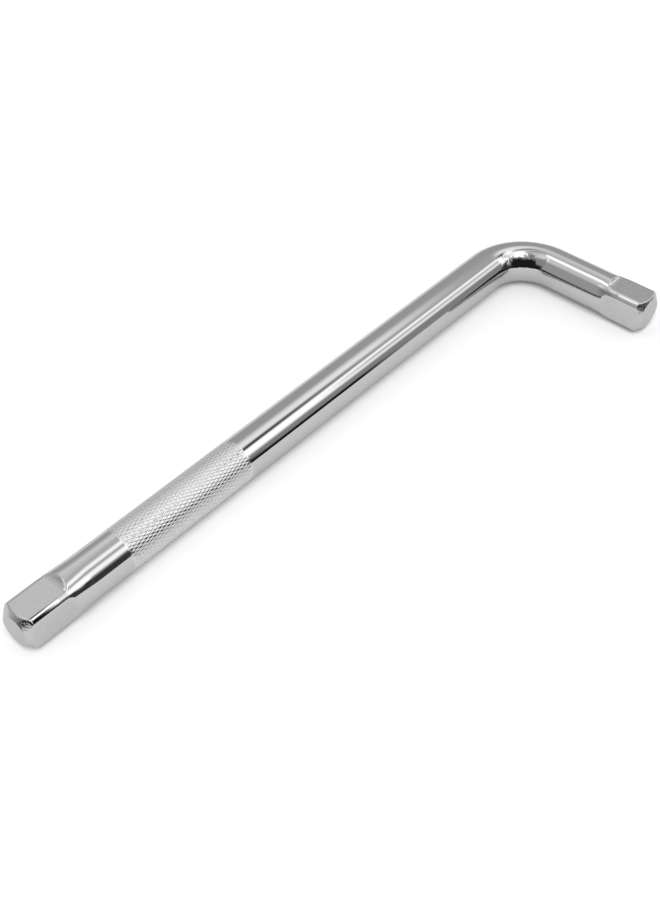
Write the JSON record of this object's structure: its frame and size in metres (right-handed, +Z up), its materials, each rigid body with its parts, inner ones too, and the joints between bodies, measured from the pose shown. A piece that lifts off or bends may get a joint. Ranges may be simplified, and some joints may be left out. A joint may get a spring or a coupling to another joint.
{
  "type": "l-handle socket wrench",
  "caption": "Right-angle socket handle: a bent round steel bar with a knurled grip and, at each end, a drive square with a sprung ball that holds the socket.",
  "frame": {"origin": "middle of the footprint, on the surface that the handle lies on", "axes": "+Z up with the handle lying flat; the long arm runs along X with its end at -X and the bend at +X, and the short arm points to -Y"},
  "size_m": [0.2508, 0.0668, 0.015],
  "materials": {
    "bar_chrome": "bright chrome plate on forged steel, flats finely ground",
    "ball_steel": "polished hardened steel",
    "spring_steel": "plain spring wire"
  },
  "bodies": {
    "handle": {"handle_bar": "bar_chrome", "long_square_detent_spring": "spring_steel", "short_square_detent_spring": "spring_steel"},
    "long_ball": {"long_square_detent_ball": "ball_steel"},
    "short_ball": {"short_square_detent_ball": "ball_steel"}
  },
  "joints": [
    {"name": "long_square_ball_press", "type": "slide", "parent": "handle", "child": "long_ball", "axis": [0, -1, 0], "range_m": [0, 0.0009], "stiffness_N_per_m": 2000, "springref_m": -0.0002, "deforming": ["long_square_detent_spring"]},
    {"name": "short_square_ball_press", "type": "slide", "parent": "handle", "child": "short_ball", "axis": [-1, 0, 0], "range_m": [0, 0.0009], "stiffness_N_per_m": 2000, "springref_m": -0.0002, "deforming": ["short_square_detent_spring"]}
  ]
}
